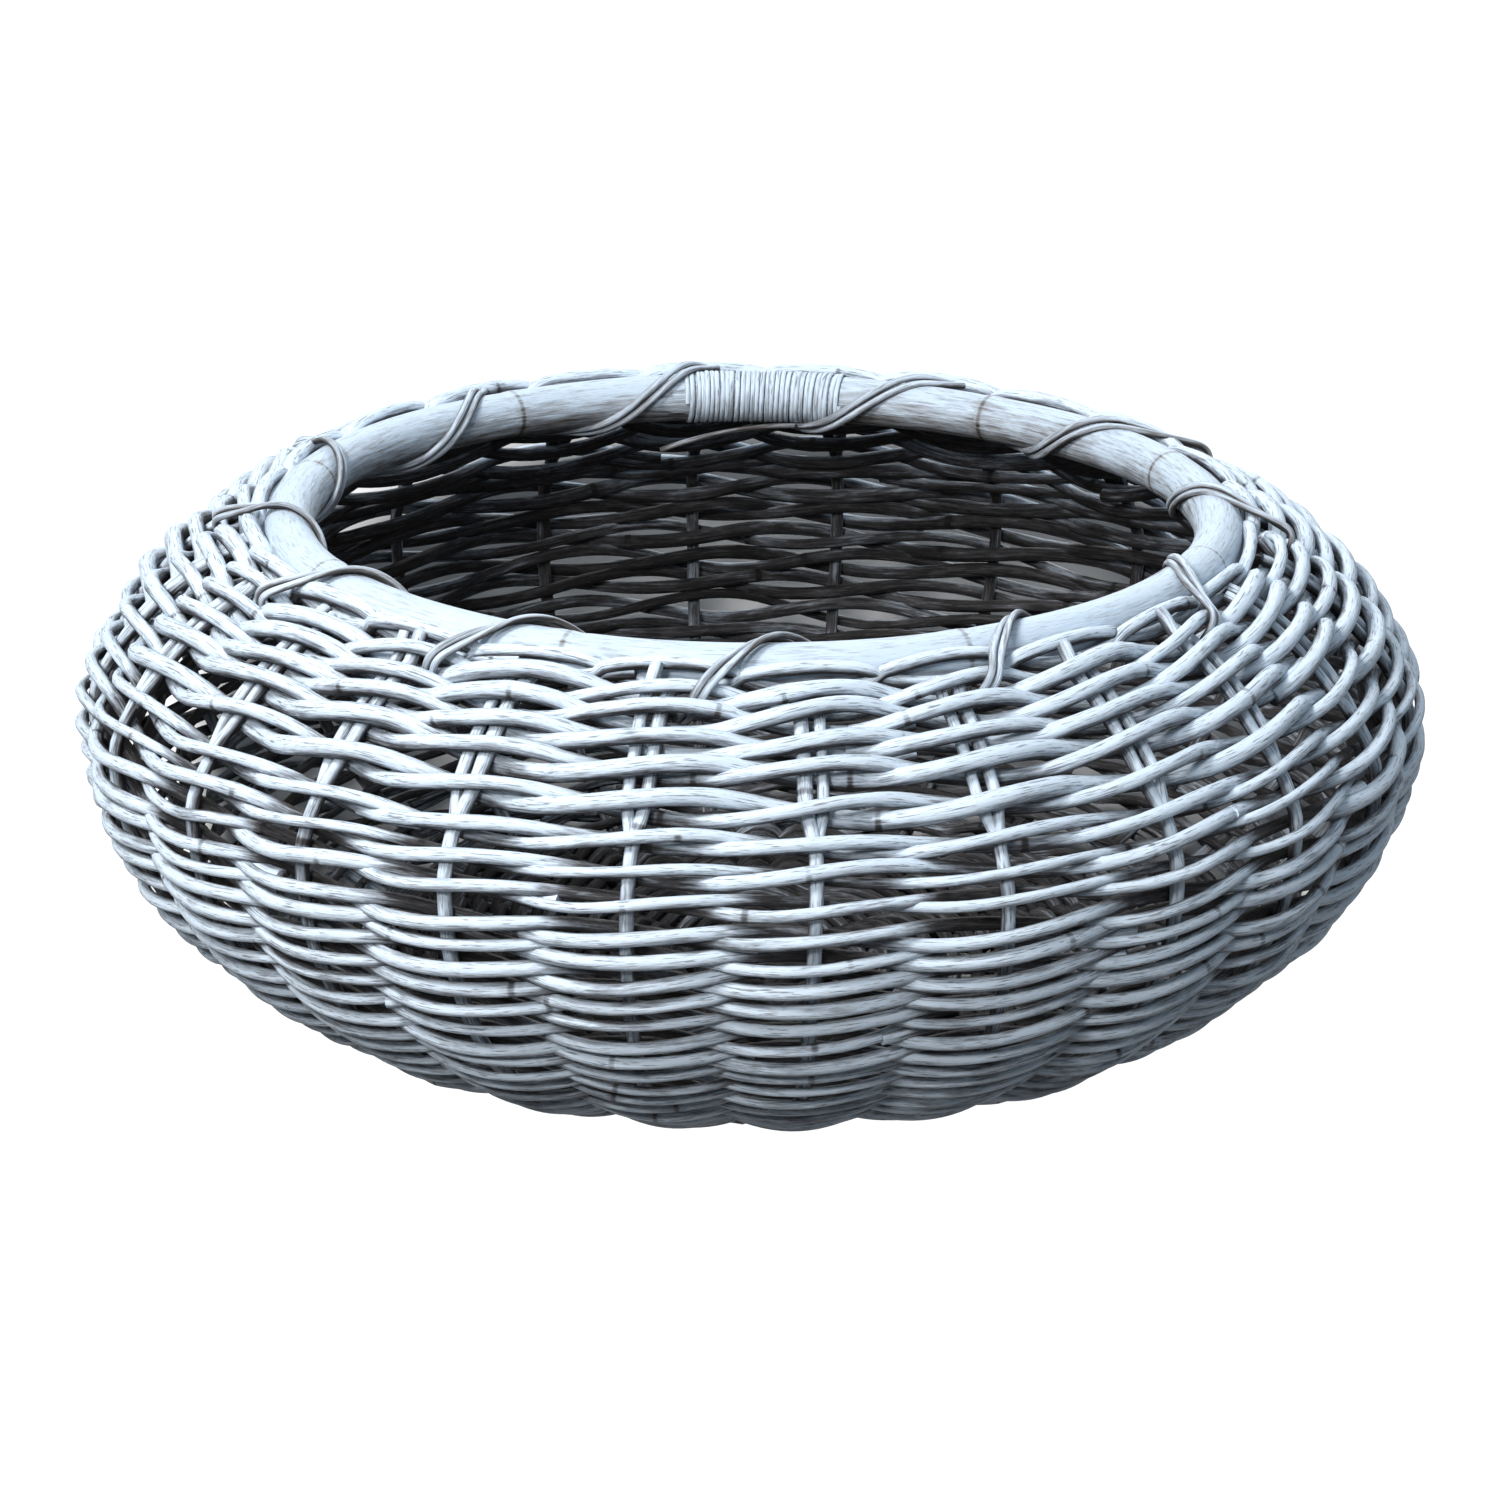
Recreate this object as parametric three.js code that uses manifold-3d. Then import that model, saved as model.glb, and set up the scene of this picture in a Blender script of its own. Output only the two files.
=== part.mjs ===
// A low round rattan basket: stakes rise from a woven base through bands of
// paired weaving to a thick pole hoop, which a doubled cane lashes to the rim.
// Lengths are in millimetres, +Z is up, and the basket stands on the plane z = 0.

import * as THREE from 'three';
import { mergeVertices } from 'three/addons/utils/BufferGeometryUtils.js';
import Module from 'manifold-3d';

const wasm = await Module();
wasm.setup();

// Rods of the wall and the base
const stakeCount = 24;
const stakeDiameter = 6;
const bellyWeaverDiameter = 5.8;
const shoulderWeaverDiameter = 7.4;
const baseStickDiameter = 6.5;
const clearance = 0.3;

// The line that the middle of every stake follows, from the base to the crown
const baseRadius = 172;
const baseTurnReach = 13.5;
const bellyRadius = 291.6;
const bellyHeight = 144;
const bellyLowerReach = 93;
const bellyUpperReach = 12;
const crownRadius = 216;
const crownHeight = 217.5;
const crownReach = 47;
const crownSlope = THREE.MathUtils.degToRad(14.3);

// Rows of weaving
const bellyBandRows = { base_turn_band: 6, lower_belly_band: 7, upper_belly_band: 6 };
const shoulderRows = 4;
const borderRows = 2;
const shoulderRowHeight = 13.5;
const borderRowHeight = 9;
const bandSteps = 2;
const ribbedBands = ['lower_belly_band', 'upper_belly_band'];
const grooveShare = 0.52;
const valleyShare = 0.62;

// Base
const baseHoleRadius = 22;
const stakeRootLength = 60;
const baseStickInset = 7;
const slathHalfLength = 20;
const spokeSpread = THREE.MathUtils.degToRad(30);

// Rim pole and the binding over its scarf joint
const poleDiameter = 21.6;
const poleSink = 2.1;
const poleSides = 8;
const poleSegments = 60;
const scarfLength = 64;
const stakeEndDrop = 3;
const bindingTurns = 16;
const bindingSteps = 8;
const bindingWidth = 3.6;
const bindingThickness = 1.4;
const bindingTurnGap = 0.75;

// Lashing of doubled cane
const laceTurns = 12;
const laceWidth = 3.2;
const laceThickness = 2.4;
const lacePairGap = 0.5;
const laceDriftShare = 0.28;
const lacePhaseShare = 1 / 3;
const tailDiameter = 2.6;
const tailLead = 15;
const tailReach = 63;
const tailDrop = 12;
const tailInset = 9;
const tailSeat = THREE.MathUtils.degToRad(-117);

// Colours of the greywashed rods
const greywash = { color: 0x9aa3aa, roughness: 0.75, metalness: 0 };
const paleWash = { color: 0xc3cbd1, roughness: 0.65, metalness: 0 };
const caneWash = { color: 0xaeb4b4, roughness: 0.6, metalness: 0 };
const innerWash = { color: 0x6f767a, roughness: 0.8, metalness: 0 };

// Sizes that follow from the ones above
const bellyHalf = stakeDiameter / 2 + bellyWeaverDiameter;
const shoulderHalf = stakeDiameter / 2 + shoulderWeaverDiameter;
const baseThickness = 2 * (bellyHalf + clearance);
const baseMiddle = baseThickness / 2;
const stakeRootRadius = baseRadius - stakeRootLength;
const baseStickReach = baseRadius - baseStickInset;
const stakeSpacing = (2 * Math.PI) / stakeCount;
const firstStakeAngle = -Math.PI / 2 + stakeSpacing / 2;
const laceSlit = laceThickness + 6 * clearance;
const poleRadius = poleDiameter / 2;

const up = new THREE.Vector3(0, 0, 1);

// Wall line in the half plane (radius, height), measured along its length
const wallLine = new THREE.Path();
wallLine.moveTo(baseRadius, baseMiddle);
wallLine.bezierCurveTo(
	baseRadius + baseTurnReach, baseMiddle,
	bellyRadius, bellyHeight - bellyLowerReach,
	bellyRadius, bellyHeight
);
wallLine.bezierCurveTo(
	bellyRadius, bellyHeight + bellyUpperReach,
	crownRadius + crownReach * Math.cos(crownSlope), crownHeight - crownReach * Math.sin(crownSlope),
	crownRadius, crownHeight
);
const wallLength = wallLine.getLength();

function wallStation(length) {

	const along = Math.min(length / wallLength, 1);
	const centre = wallLine.getPoint(along);
	const forward = wallLine.getTangent(along);
	return { centre, forward, outward: new THREE.Vector2(forward.y, -forward.x) };

}

function onWall(length, reach) {

	const station = wallStation(length);
	return station.centre.addScaledVector(station.outward, reach);

}

// Turns a point of the half plane to its place round the basket's axis
function around(point, angle) {

	return new THREE.Vector3(point.x * Math.cos(angle), point.x * Math.sin(angle), point.y);

}

// A closed skin over a grid of points that closes on itself both ways
function closedGrid(columns) {

	const positions = [];
	const indices = [];
	const width = columns.length;
	const height = columns[0].length;
	columns.forEach((column) => column.forEach((point) => positions.push(point.x, point.y, point.z)));
	for (let i = 0; i < width; i++) {

		for (let j = 0; j < height; j++) {

			const here = i * height + j;
			const above = i * height + (j + 1) % height;
			const beside = ((i + 1) % width) * height + j;
			const across = ((i + 1) % width) * height + (j + 1) % height;
			indices.push(here, beside, across, here, across, above);

		}

	}

	return indexedGeometry(positions, indices);

}

// A rod: one section swept through frames of centre, side and outward direction
function sweptRod(frames, section) {

	const positions = [];
	const indices = [];
	const sides = section.length;
	for (const { centre, side, outward } of frames) {

		for (const corner of section) {

			const point = centre.clone().addScaledVector(side, corner.x).addScaledVector(outward, corner.y);
			positions.push(point.x, point.y, point.z);

		}

	}

	for (let i = 0; i + 1 < frames.length; i++) {

		for (let j = 0; j < sides; j++) {

			const here = i * sides + j;
			const beside = i * sides + (j + 1) % sides;
			indices.push(here, beside, beside + sides, here, beside + sides, here + sides);

		}

	}

	const last = (frames.length - 1) * sides;
	for (let j = 1; j + 1 < sides; j++) {

		indices.push(0, j + 1, j, last, last + j, last + j + 1);

	}

	return indexedGeometry(positions, indices);

}

function indexedGeometry(positions, indices) {

	const geometry = new THREE.BufferGeometry();
	geometry.setAttribute('position', new THREE.Float32BufferAttribute(positions, 3));
	geometry.setIndex(indices);
	return geometry;

}

// Frames along a run of points, with the direction that faces out at each
function rodFrames(points, outwards) {

	return points.map((centre, index) => {

		const before = points[Math.max(index - 1, 0)];
		const after = points[Math.min(index + 1, points.length - 1)];
		const forward = after.clone().sub(before).normalize();
		const outward = outwards[index].clone().addScaledVector(forward, -outwards[index].dot(forward)).normalize();
		return { centre, side: outward.clone().cross(forward), outward };

	});

}

function roundSection(diameter, sides) {

	return Array.from({ length: sides }, (_, index) => {

		const angle = (2 * Math.PI * index) / sides + Math.PI / 2;
		return new THREE.Vector2(Math.cos(angle), Math.sin(angle)).multiplyScalar(diameter / 2);

	});

}

function flatSection(width, thickness) {

	const x = width / 2;
	const y = thickness / 2;
	return [[x, y], [-x, y], [-x, -y], [x, -y]].map((corner) => new THREE.Vector2(...corner));

}

// Booleans
function toSolid(geometry) {

	const bare = geometry.clone();
	bare.deleteAttribute('normal');
	bare.deleteAttribute('uv');
	const merged = mergeVertices(bare);
	return new wasm.Manifold(new wasm.Mesh({
		numProp: 3,
		vertProperties: new Float32Array(merged.attributes.position.array),
		triVerts: new Uint32Array(merged.index.array)
	}));

}

function toGeometry(solid) {

	const mesh = solid.getMesh();
	return indexedGeometry(Array.from(mesh.vertProperties), Array.from(mesh.triVerts));

}

function joined(geometries) {

	return geometries.map(toSolid).reduce((whole, solid) => whole.add(solid));

}

// Lengths along the wall line at which the bands begin, step and end
const borderLength = borderRows * borderRowHeight;
const borderStart = wallLength - borderLength;
const shoulderEnd = borderStart - laceSlit;
const shoulderStart = shoulderEnd - shoulderRows * shoulderRowHeight;
const bellyRowCount = Object.values(bellyBandRows).reduce((sum, rows) => sum + rows);
const bellyRowHeight = shoulderStart / bellyRowCount;

function evenStations(start, end, steps) {

	return Array.from({ length: steps + 1 }, (_, index) => start + ((end - start) * index) / steps);

}

const bands = [];
let bandStart = 0;
for (const [name, rows] of Object.entries(bellyBandRows)) {

	const bandEnd = bandStart + rows * bellyRowHeight;
	bands.push({
		name,
		rows,
		stations: evenStations(bandStart, bandEnd - clearance, bandSteps),
		half: bellyHalf,
		valley: valleyShare * bellyWeaverDiameter
	});
	bandStart = bandEnd;

}

bands.push({
	name: 'shoulder_band',
	rows: shoulderRows,
	stations: evenStations(shoulderStart, shoulderEnd, bandSteps),
	half: shoulderHalf,
	valley: valleyShare * shoulderWeaverDiameter
});
bands.push({
	name: 'border_band',
	rows: borderRows,
	stations: [borderStart, wallLength],
	half: shoulderHalf,
	valley: valleyShare * shoulderWeaverDiameter
});

// A band swells over each stake, where one weaver passes before it and one behind.
// Its rows show as ribs with grooves between them, or else it is smooth.
function bandGeometry({ name, rows, stations, half, valley }) {

	const ribbed = ribbedBands.includes(name);
	const outsideStations = ribbed ? evenStations(stations[0], stations.at(-1), 2 * rows) : stations;
	const columns = [];
	for (let stake = 0; stake < stakeCount; stake++) {

		for (const [turn, reach] of [[0, half], [1 / 2, valley]]) {

			const angle = firstStakeAngle + (stake + turn) * stakeSpacing;
			const outside = outsideStations.map((length, index) => {

				return onWall(length, ribbed && index % 2 === 0 ? grooveShare * reach : reach);

			});
			const inside = stations.map((length) => onWall(length, -reach)).reverse();
			columns.push([...outside, ...inside].map((point) => around(point, angle)));

		}

	}

	return closedGrid(columns);

}

// Stakes, drawn in the XZ plane: out along the base, then up the wall
const stakeStations = [...new Set(bands.flatMap((band) => band.stations.slice(0, -1)))];

function stakeGeometry(section, rootExtra, endLength) {

	const lengths = [...stakeStations, endLength];
	const flat = lengths.map((length) => wallStation(length));
	const points = [
		new THREE.Vector3(stakeRootRadius - rootExtra, 0, baseMiddle),
		...flat.map(({ centre }) => new THREE.Vector3(centre.x, 0, centre.y))
	];
	const outwards = [
		new THREE.Vector3(0, 0, -1),
		...flat.map(({ outward }) => new THREE.Vector3(outward.x, 0, outward.y))
	];
	return sweptRod(rodFrames(points, outwards), section);

}

const channelWidth = stakeDiameter + 2 * clearance;
const channelSection = flatSection(channelWidth, channelWidth);
const stakeShape = stakeGeometry(roundSection(stakeDiameter, 5), 0, wallLength - stakeEndDrop);

const crown = wallStation(wallLength);

// The channel runs on past the crown so that it opens the border's end
function stakeChannel(angle) {

	const inWall = stakeGeometry(channelSection, clearance, wallLength);
	const past = crown.centre.clone().addScaledVector(crown.forward, channelWidth);
	const before = onWall(wallLength - clearance, 0);
	const frames = rodFrames(
		[before, past].map((point) => new THREE.Vector3(point.x, 0, point.y)),
		[crown.outward, crown.outward].map((point) => new THREE.Vector3(point.x, 0, point.y))
	);
	const mouth = sweptRod(frames, channelSection);
	return toSolid(inWall).add(toSolid(mouth)).rotate([0, 0, THREE.MathUtils.radToDeg(angle)]);

}

const stakeAngles = Array.from({ length: stakeCount }, (_, index) => firstStakeAngle + index * stakeSpacing);
const stakeChannels = stakeAngles.map(stakeChannel).reduce((whole, channel) => whole.add(channel));

// Base sticks, three over three, that lie together in the middle and fan out
const stickPitch = baseStickDiameter + clearance;

function stickGeometry(place, level, section, extra) {

	const spread = place * spokeSpread;
	const reach = baseStickReach + extra;
	const end = new THREE.Vector2(reach * Math.cos(spread), reach * Math.sin(spread));
	const turn = new THREE.Vector2(slathHalfLength, place * stickPitch);
	const height = baseMiddle + (level * stickPitch) / 2;
	const points = [[-end.x, end.y], [-turn.x, turn.y], [turn.x, turn.y], [end.x, end.y]];
	return sweptRod(
		rodFrames(points.map(([x, y]) => new THREE.Vector3(x, y, height)), points.map(() => up)),
		section
	);

}

const sticks = [-1, 1].flatMap((level) => [-1, 0, 1].map((place) => ({ level, place })));

function stickAt({ level, place }, section, extra) {

	return stickGeometry(place, level, section, extra).rotateZ(level > 0 ? Math.PI / 2 : 0);

}

const stickChannelWidth = baseStickDiameter + 2 * clearance;
const stickChannels = joined(
	sticks.map((stick) => stickAt(stick, flatSection(stickChannelWidth, stickChannelWidth), clearance))
);

function baseWeaveGeometry() {

	const outer = baseRadius - 2 * clearance;
	const corners = [[baseHoleRadius, 0], [outer, 0], [outer, baseThickness], [baseHoleRadius, baseThickness]];
	const profile = [...corners, corners[0]].map(([radius, height]) => new THREE.Vector2(radius, height));
	const disc = new THREE.LatheGeometry(profile, poleSegments).rotateX(Math.PI / 2);
	return toGeometry(toSolid(disc).subtract(stickChannels).subtract(stakeChannels));

}

// The pole lies against the border's end, sunk a little to the inside
const poleCentre = crown.centre.clone()
	.addScaledVector(crown.forward, poleRadius + clearance)
	.addScaledVector(crown.outward, -poleSink);
const jointAngle = Math.PI / 2;

function polePoint(radius, turn) {

	return new THREE.Vector2(Math.cos(turn), Math.sin(turn)).multiplyScalar(radius).add(poleCentre);

}

function poleGeometry() {

	const profile = Array.from({ length: poleSides + 1 }, (_, index) => {

		return polePoint(poleRadius, (2 * Math.PI * (index % poleSides)) / poleSides);

	});
	const hoop = new THREE.LatheGeometry(profile, poleSegments).rotateX(Math.PI / 2);
	const cut = new THREE.BoxGeometry(scarfLength + poleDiameter, clearance, 2 * poleDiameter);
	cut.rotateZ(Math.atan(poleDiameter / scarfLength));
	cut.translate(0, poleCentre.x, poleCentre.y);
	return toGeometry(toSolid(hoop).subtract(toSolid(cut)));

}

// Binding: one flat cane wound close round the pole over the scarf, its ends inside the rim
const bindingPitch = bindingWidth + bindingTurnGap;
const bindingChord = 1 / Math.cos(Math.PI / bindingSteps);
const bindingRadius = (poleRadius + clearance + bindingThickness / 2) * bindingChord;
const bindingOuter = bindingRadius + bindingThickness / 2;
const bindingHalfAngle = (bindingTurns * bindingPitch) / 2 / poleCentre.x;

function bindingPath() {

	const count = bindingTurns * bindingSteps;
	const points = [];
	const outwards = [];
	for (let index = 0; index <= count; index++) {

		const angle = jointAngle + bindingHalfAngle * ((2 * index) / count - 1);
		const turn = Math.PI + (2 * Math.PI * index) / bindingSteps;
		points.push(around(polePoint(bindingRadius, turn), angle));
		outwards.push(points[index].clone().sub(around(poleCentre, angle)));

	}

	return { points, outwards };

}

// Room for the binding in the border's end
function bindingPocket() {

	const angles = evenStations(
		jointAngle - bindingHalfAngle - bindingPitch / poleCentre.x,
		jointAngle + bindingHalfAngle + bindingPitch / poleCentre.x,
		poleSides
	);
	const pocketDiameter = 2 * (bindingOuter + 2 * clearance);
	return sweptRod(
		rodFrames(angles.map((angle) => around(poleCentre, angle)), angles.map(() => up)),
		roundSection(pocketDiameter, 2 * poleSides)
	);

}

// Lashing: a taut loop through the slit, up over the pole and down its inner side.
// It is drawn in the half plane as a run round posts at the corners of what it holds.
const loopSteps = { corner: 2, edge: 1, pole: 8 };

function laceLoop(poleReach) {

	const posts = [
		{ at: onWall(borderStart, shoulderHalf), radius: laceSlit / 2, steps: loopSteps.corner },
		{ at: onWall(wallLength, shoulderHalf), radius: laceSlit / 2, steps: loopSteps.edge },
		{ at: poleCentre, radius: poleReach, steps: loopSteps.pole },
		{ at: onWall(borderStart, -shoulderHalf), radius: laceSlit / 2, steps: loopSteps.corner }
	];
	const facings = posts.map((here, index) => {

		const next = posts[(index + 1) % posts.length];
		const apart = next.at.clone().sub(here.at);
		return apart.angle() - Math.acos((here.radius - next.radius) / apart.length());

	});
	return posts.flatMap(({ at, radius, steps }, index) => {

		const from = facings[(index + posts.length - 1) % posts.length];
		const swing = THREE.MathUtils.euclideanModulo(facings[index] - from, 2 * Math.PI);
		return Array.from({ length: steps + 1 }, (_, step) => {

			const outward = new THREE.Vector2(1, 0).rotateAround(new THREE.Vector2(), from + (swing * step) / steps);
			return { place: at.clone().addScaledVector(outward, radius), outward };

		});

	});

}

const plainLoop = laceLoop(poleRadius + laceSlit / 2);
const raisedLoop = laceLoop(bindingOuter + laceSlit / 2);

// Lengths along the loop, not counting its turns in and out of the slit
const loopLengths = plainLoop.map(() => 0);
for (let index = 1; index < plainLoop.length; index++) {

	const inTurn = index <= loopSteps.corner || index >= plainLoop.length - loopSteps.corner;
	const stretch = inTurn ? 0 : plainLoop[index].place.distanceTo(plainLoop[index - 1].place);
	loopLengths[index] = loopLengths[index - 1] + stretch;

}

// The turns stand closer together on one side of the rim than on the other
function laceAngle(turn, share) {

	const even = turn + share;
	const round = (2 * Math.PI * even) / laceTurns;
	const drift = laceDriftShare * stakeSpacing * Math.sin(round + Math.PI * lacePhaseShare);
	return jointAngle + round + drift;

}

function lacePath() {

	const points = [];
	const outwards = [];
	const slope = (4 * bindingPitch) / poleCentre.x;
	const [first, last] = [plainLoop[0], plainLoop.at(-1)];
	const crossing = first.place.clone().sub(last.place).setLength(laceWidth);
	const addEnd = (post, side, angle) => {

		points.push(around(post.place.clone().addScaledVector(crossing, side), angle));
		outwards.push(around(post.outward, angle));

	};
	addEnd(first, -1, laceAngle(0, 0));
	for (let turn = 0; turn < laceTurns; turn++) {

		plainLoop.forEach((plain, index) => {

			const angle = laceAngle(turn, loopLengths[index] / loopLengths.at(-1));
			const off = Math.abs(THREE.MathUtils.euclideanModulo(angle - jointAngle + Math.PI, 2 * Math.PI) - Math.PI);
			const lift = THREE.MathUtils.clamp((bindingHalfAngle + 2 * slope - off) / slope, 0, 1);
			points.push(around(plain.place.clone().lerp(raisedLoop[index].place, lift), angle));
			outwards.push(around(plain.outward, angle));

		});

	}

	addEnd(last, 1, laceAngle(laceTurns, 0));
	return { points, outwards };

}

// The binding's two ends run straight on for one thickness
function straightEnds(frames, reach) {

	const [first, last] = [frames[0], frames.at(-1)].map(({ centre, side, outward }, index) => {

		const forward = side.clone().cross(outward).multiplyScalar(index === 0 ? -reach : reach);
		return { centre: centre.clone().add(forward), side, outward };

	});
	return [first, ...frames, last];

}

// Two canes side by side along the same run
function laceFrames(which) {

	const { points, outwards } = lacePath();
	const shift = (which * (laceWidth + lacePairGap)) / 2;
	return rodFrames(points, outwards).map(({ centre, side, outward }) => {

		return { centre: centre.clone().addScaledVector(side, shift), side, outward };

	});

}

// The cane's loose end comes out from under the binding and hangs inside
function tailGeometry() {

	const startAngle = jointAngle - tailLead / poleCentre.x;
	const start = around(polePoint(bindingOuter + clearance + tailDiameter / 2, tailSeat), startAngle);
	const inward = around(new THREE.Vector2(-1, 0), startAngle);
	const along = up.clone().cross(inward).negate();
	const level = start.clone().addScaledVector(along, tailReach / 2).addScaledVector(inward, tailInset / 2);
	const end = start.clone()
		.addScaledVector(along, tailReach)
		.addScaledVector(inward, tailInset)
		.addScaledVector(up, -tailDrop);
	const points = new THREE.QuadraticBezierCurve3(start, level, end).getPoints(6);
	return sweptRod(rodFrames(points, points.map(() => up)), roundSection(tailDiameter, 6));

}

// Least gap between the turns of a winding, from points a loop or so apart
function leastGap(frames, stepsPerLoop, width) {

	let least = Infinity;
	frames.forEach((frame, index) => {

		for (let other = index + Math.ceil(stepsPerLoop / 2); other < frames.length; other++) {

			least = Math.min(least, frame.centre.distanceTo(frames[other].centre));

		}

	});
	return least - width;

}

const basket = new THREE.Group();

function addPiece(name, geometry, look, angle = 0) {

	const mesh = new THREE.Mesh(geometry, new THREE.MeshStandardMaterial(look));
	mesh.name = name;
	mesh.rotation.z = angle;
	basket.add(mesh);

}

// Base
addPiece('base_weave', baseWeaveGeometry(), innerWash);
sticks.forEach((stick, index) => {

	addPiece(`base_stick_${index + 1}`, stickAt(stick, roundSection(baseStickDiameter, 6), 0), innerWash);

});

// Wall
stakeAngles.forEach((angle, index) => {

	addPiece(`stake_${String(index + 1).padStart(2, '0')}`, stakeShape.clone(), innerWash, angle);

});
for (const band of bands) {

	let solid = toSolid(bandGeometry(band)).subtract(stakeChannels);
	if (band.name === 'border_band') solid = solid.subtract(toSolid(bindingPocket()));
	addPiece(band.name, toGeometry(solid), greywash);

}

// Rim
const binding = bindingPath();
const bindingFrames = straightEnds(rodFrames(binding.points, binding.outwards), bindingThickness);
addPiece('rim_pole', poleGeometry(), paleWash);
addPiece('lashing_tail', tailGeometry(), caneWash);
addPiece('pole_joint_binding', sweptRod(bindingFrames, flatSection(bindingWidth, bindingThickness)), paleWash);
console.log('binding, least gap to itself:', leastGap(bindingFrames, bindingSteps, bindingWidth).toFixed(2));
for (const [name, which] of [['rim_lashing_first', -1], ['rim_lashing_second', 1]]) {

	const frames = laceFrames(which);
	addPiece(name, sweptRod(frames, flatSection(laceWidth, laceThickness)), caneWash);
	console.log(`${name}, least gap to itself:`, leastGap(frames, plainLoop.length, laceWidth).toFixed(2));

}

export default basket;
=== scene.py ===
import math
import random

import bmesh
import bpy
import numpy as np
from mathutils import Matrix, Vector


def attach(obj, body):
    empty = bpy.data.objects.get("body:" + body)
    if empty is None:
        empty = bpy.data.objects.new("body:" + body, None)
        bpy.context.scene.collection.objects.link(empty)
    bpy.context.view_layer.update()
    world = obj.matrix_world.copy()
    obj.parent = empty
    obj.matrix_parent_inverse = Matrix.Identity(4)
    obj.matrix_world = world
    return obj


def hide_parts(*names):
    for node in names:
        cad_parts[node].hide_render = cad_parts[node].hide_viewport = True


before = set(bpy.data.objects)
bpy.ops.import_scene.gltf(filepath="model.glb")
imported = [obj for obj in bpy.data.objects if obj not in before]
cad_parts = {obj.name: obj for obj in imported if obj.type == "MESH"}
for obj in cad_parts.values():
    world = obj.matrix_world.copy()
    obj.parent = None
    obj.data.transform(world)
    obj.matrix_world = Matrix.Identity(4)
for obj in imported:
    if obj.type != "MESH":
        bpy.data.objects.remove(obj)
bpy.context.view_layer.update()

# A low round rattan basket, rod by rod: stakes, paired weavers, pole hoop and canes.
# Everything is in metres in the frame's own place, standing on z = 0.

chance = random.Random(41)
mm = 0.001

wall = {
    "stakes": 24,
    "stakeDiameter": 6 * mm,
    "baseRadius": 172 * mm,
    "baseMiddle": 9.1 * mm,
    "baseTurnReach": 13.5 * mm,
    "bellyRadius": 291.6 * mm,
    "bellyHeight": 144 * mm,
    "bellyLowerReach": 93 * mm,
    "bellyUpperReach": 12 * mm,
    "crownRadius": 216 * mm,
    "crownHeight": 217.5 * mm,
    "crownReach": 47 * mm,
    "crownSlope": math.radians(14.3),
    "lean": math.radians(0.8),      # how far the stakes stray to either side
    "rise": 1.6 * mm,               # how far all the rows wander up and down together
    "bulge": 1.2 * mm,              # how far the wall strays in and out
    "strayFrom": 10 * mm,           # the wall keeps still at the base and under the pole
    "strayFull": 60 * mm,
    "strayEnd": 22 * mm,
}
spacing = 2 * math.pi / wall["stakes"]
firstStakeAngle = -math.pi / 2 + spacing / 2
jointAngle = math.pi / 2


def smoothStep(low, high, value):
    share = np.clip((np.asarray(value, float) - low) / (high - low), 0, 1)
    return share * share * (3 - 2 * share)


def bezierRun(corners, count):
    share = np.linspace(0, 1, count)[:, None]
    a, b, c, d = (np.array(corner, float) for corner in corners)
    rest = 1 - share
    return rest ** 3 * a + 3 * rest ** 2 * share * b + 3 * rest * share ** 2 * c + share ** 3 * d


def alongPath(path):
    return np.concatenate([[0], np.cumsum(np.linalg.norm(np.diff(path, axis=0), axis=1))])


def measureWall():
    # the line that the stakes follow, as radius and height
    slope = wall["crownSlope"]
    base = (wall["baseRadius"], wall["baseMiddle"])
    belly = (wall["bellyRadius"], wall["bellyHeight"])
    crown = (wall["crownRadius"], wall["crownHeight"])
    lower = bezierRun([base, (base[0] + wall["baseTurnReach"], base[1]),
                       (belly[0], belly[1] - wall["bellyLowerReach"]), belly], 400)
    upper = bezierRun([belly, (belly[0], belly[1] + wall["bellyUpperReach"]),
                       (crown[0] + wall["crownReach"] * math.cos(slope),
                        crown[1] - wall["crownReach"] * math.sin(slope)), crown], 400)
    line = np.vstack([lower, upper[1:]])
    forward = np.gradient(line, axis=0)
    return line, alongPath(line), forward / np.linalg.norm(forward, axis=1)[:, None]


wallLine, wallLengths, wallForward = measureWall()
wallLength = wallLengths[-1]


def wallStation(length):
    # centre, forward and outward direction in the half plane, running straight on past both ends
    length = np.atleast_1d(np.asarray(length, float))
    held = np.clip(length, 0, wallLength)
    centre = np.stack([np.interp(held, wallLengths, wallLine[:, axis]) for axis in (0, 1)], axis=1)
    forward = np.stack([np.interp(held, wallLengths, wallForward[:, axis]) for axis in (0, 1)], axis=1)
    forward /= np.linalg.norm(forward, axis=1)[:, None]
    centre = centre + forward * (length - held)[:, None]
    return centre, forward, np.stack([forward[:, 1], -forward[:, 0]], axis=1)


def angleFrom(angle, middle):
    # how far an angle lies from another one, at most half a turn
    return (angle - middle + math.pi) % (2 * math.pi) - math.pi


def around(point, angle):
    # turns places in the half plane to where they stand round the basket
    angle = np.broadcast_to(angle, point.shape[:1])
    return np.stack([point[:, 0] * np.cos(angle), point[:, 0] * np.sin(angle), point[:, 1]], axis=1)


def makeRipple(seed, waves, lengthRate):
    # a smooth stray of about 1 over the whole wall, the same for every rod that passes a place
    draw = random.Random(seed)
    terms = [(wave, draw.uniform(-lengthRate, lengthRate), draw.uniform(0, 2 * math.pi)) for wave in waves]

    def ripple(angle, length):
        strays = [np.sin(wave * angle + rate * length + phase) for wave, rate, phase in terms]
        return sum(strays) / len(terms) ** 0.5

    return ripple


leanRipple = makeRipple(3, (2, 3, 5, 8), 14)
riseRipple = makeRipple(5, (1, 3, 4, 7), 18)
bulgeRipple = makeRipple(8, (2, 3, 6), 12)


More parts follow.
